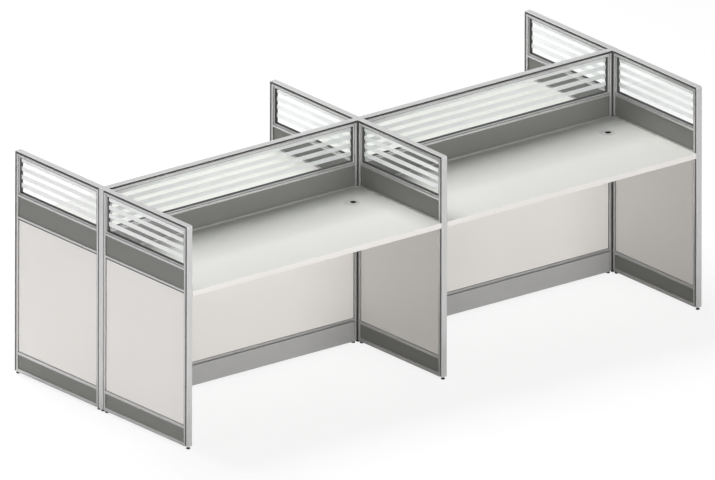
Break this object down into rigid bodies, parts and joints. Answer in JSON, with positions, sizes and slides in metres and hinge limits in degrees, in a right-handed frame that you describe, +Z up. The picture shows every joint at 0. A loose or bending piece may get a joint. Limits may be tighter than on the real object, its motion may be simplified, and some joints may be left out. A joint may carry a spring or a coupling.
{
  "type": "cubicle workstation",
  "caption": "Shared cubicle workstation: crossed partitions with dark bands and frosted stripes on glass, and a worktop with a cable grommet in each bay.",
  "frame": {"origin": "on the floor under the centre post, which is the middle of the base", "axes": "+X along the spine partition to the right seen from the front, +Y from the front worktops to the rear ones, +Z up"},
  "size_m": [2.89, 1.23, 1.05],
  "materials": {
    "frame_profile": "satin anodised",
    "cap_profile": "satin anodised, rounded edges",
    "joint_profile": "dark satin, in shadow grooves",
    "band_board": "dark grey melamine facing",
    "lower_board": "off-white melamine facing",
    "kick_board": "dark grey melamine facing",
    "glass": "clear with frosted stripes along it",
    "gasket": "matt black",
    "bead": "satin anodised",
    "worktop": "off-white melamine with matching edge band",
    "grommet": "fine texture",
    "support_steel": "grey powder coat",
    "fastener": "zinc plated",
    "raceway_cover": "mid grey powder coat",
    "tray_steel": "zinc plated sheet",
    "foot": "black foot with a zinc plated stem and nut"
  },
  "bodies": {
    "structure": {"left_post": "frame_profile", "centre_post": "frame_profile", "right_post": "frame_profile", "post_caps": "cap_profile", "left_front_frame": "frame_profile", "left_rear_frame": "frame_profile", "centre_front_frame": "frame_profile", "centre_rear_frame": "frame_profile", "right_front_frame": "frame_profile", "right_rear_frame": "frame_profile", "left_spine_frame": "frame_profile", "right_spine_frame": "frame_profile", "joint_profiles": "joint_profile", "top_caps": "cap_profile", "end_trims": "cap_profile", "left_band_boards": "band_board", "centre_band_boards": "band_board", "right_band_boards": "band_board", "spine_band_boards": "band_board", "left_lower_boards": "lower_board", "centre_lower_boards": "lower_board", "right_lower_boards": "lower_board", "spine_lower_boards": "lower_board", "kick_boards": "kick_board", "left_glass": "glass", "centre_glass": "glass", "right_glass": "glass", "spine_glass": "glass", "glazing_gaskets": "gasket", "glazing_beads": "bead", "front_left_worktop": "worktop", "front_right_worktop": "worktop", "rear_left_worktop": "worktop", "rear_right_worktop": "worktop", "front_left_grommet_ring": "grommet", "front_right_grommet_ring": "grommet", "rear_left_grommet_ring": "grommet", "rear_right_grommet_ring": "grommet", "support_bars": "support_steel", "cleats": "support_steel", "cleat_screws": "fastener", "panel_bolts": "fastener", "raceway_trays": "tray_steel"},
    "front_left_cover": {"front_left_raceway_cover": "raceway_cover"},
    "front_left_turn_cap": {"front_left_grommet_cap": "grommet"},
    "front_right_cover": {"front_right_raceway_cover": "raceway_cover"},
    "front_right_turn_cap": {"front_right_grommet_cap": "grommet"},
    "rear_left_cover": {"rear_left_raceway_cover": "raceway_cover"},
    "rear_left_turn_cap": {"rear_left_grommet_cap": "grommet"},
    "rear_right_cover": {"rear_right_raceway_cover": "raceway_cover"},
    "rear_right_turn_cap": {"rear_right_grommet_cap": "grommet"},
    "left_front_foot_set": {"left_front_feet": "foot"},
    "left_rear_foot_set": {"left_rear_feet": "foot"},
    "centre_front_foot_set": {"centre_front_feet": "foot"},
    "centre_rear_foot_set": {"centre_rear_feet": "foot"},
    "right_front_foot_set": {"right_front_feet": "foot"},
    "right_rear_foot_set": {"right_rear_feet": "foot"},
    "left_spine_foot_set": {"left_spine_feet": "foot"},
    "right_spine_foot_set": {"right_spine_feet": "foot"},
    "post_foot_set": {"post_feet": "foot"}
  },
  "joints": [
    {"name": "front_left_cover_pull", "type": "slide", "parent": "structure", "child": "front_left_cover", "axis": [0, -1, 0], "range_m": [0, 0.15]},
    {"name": "front_left_cap_turn", "type": "hinge", "parent": "structure", "child": "front_left_turn_cap", "pos_m": [-0.171, -0.171, 0.7425], "axis": [0, 0, 1], "continuous": true},
    {"name": "front_right_cover_pull", "type": "slide", "parent": "structure", "child": "front_right_cover", "axis": [0, -1, 0], "range_m": [0, 0.15]},
    {"name": "front_right_cap_turn", "type": "hinge", "parent": "structure", "child": "front_right_turn_cap", "pos_m": [1.259, -0.171, 0.7425], "axis": [0, 0, 1], "continuous": true},
    {"name": "rear_left_cover_pull", "type": "slide", "parent": "structure", "child": "rear_left_cover", "axis": [0, 1, 0], "range_m": [0, 0.15]},
    {"name": "rear_left_cap_turn", "type": "hinge", "parent": "structure", "child": "rear_left_turn_cap", "pos_m": [-1.259, 0.171, 0.7425], "axis": [0, 0, 1], "continuous": true},
    {"name": "rear_right_cover_pull", "type": "slide", "parent": "structure", "child": "rear_right_cover", "axis": [0, 1, 0], "range_m": [0, 0.15]},
    {"name": "rear_right_cap_turn", "type": "hinge", "parent": "structure", "child": "rear_right_turn_cap", "pos_m": [0.171, 0.171, 0.7425], "axis": [0, 0, 1], "continuous": true},
    {"name": "left_front_feet_level", "type": "slide", "parent": "structure", "child": "left_front_foot_set", "axis": [0, 0, -1], "range_m": [0, 0.015]},
    {"name": "left_rear_feet_level", "type": "slide", "parent": "structure", "child": "left_rear_foot_set", "axis": [0, 0, -1], "range_m": [0, 0.015]},
    {"name": "centre_front_feet_level", "type": "slide", "parent": "structure", "child": "centre_front_foot_set", "axis": [0, 0, -1], "range_m": [0, 0.015]},
    {"name": "centre_rear_feet_level", "type": "slide", "parent": "structure", "child": "centre_rear_foot_set", "axis": [0, 0, -1], "range_m": [0, 0.015]},
    {"name": "right_front_feet_level", "type": "slide", "parent": "structure", "child": "right_front_foot_set", "axis": [0, 0, -1], "range_m": [0, 0.015]},
    {"name": "right_rear_feet_level", "type": "slide", "parent": "structure", "child": "right_rear_foot_set", "axis": [0, 0, -1], "range_m": [0, 0.015]},
    {"name": "left_spine_feet_level", "type": "slide", "parent": "structure", "child": "left_spine_foot_set", "axis": [0, 0, -1], "range_m": [0, 0.015]},
    {"name": "right_spine_feet_level", "type": "slide", "parent": "structure", "child": "right_spine_foot_set", "axis": [0, 0, -1], "range_m": [0, 0.015]},
    {"name": "post_feet_level", "type": "slide", "parent": "structure", "child": "post_foot_set", "axis": [0, 0, -1], "range_m": [0, 0.015]}
  ]
}
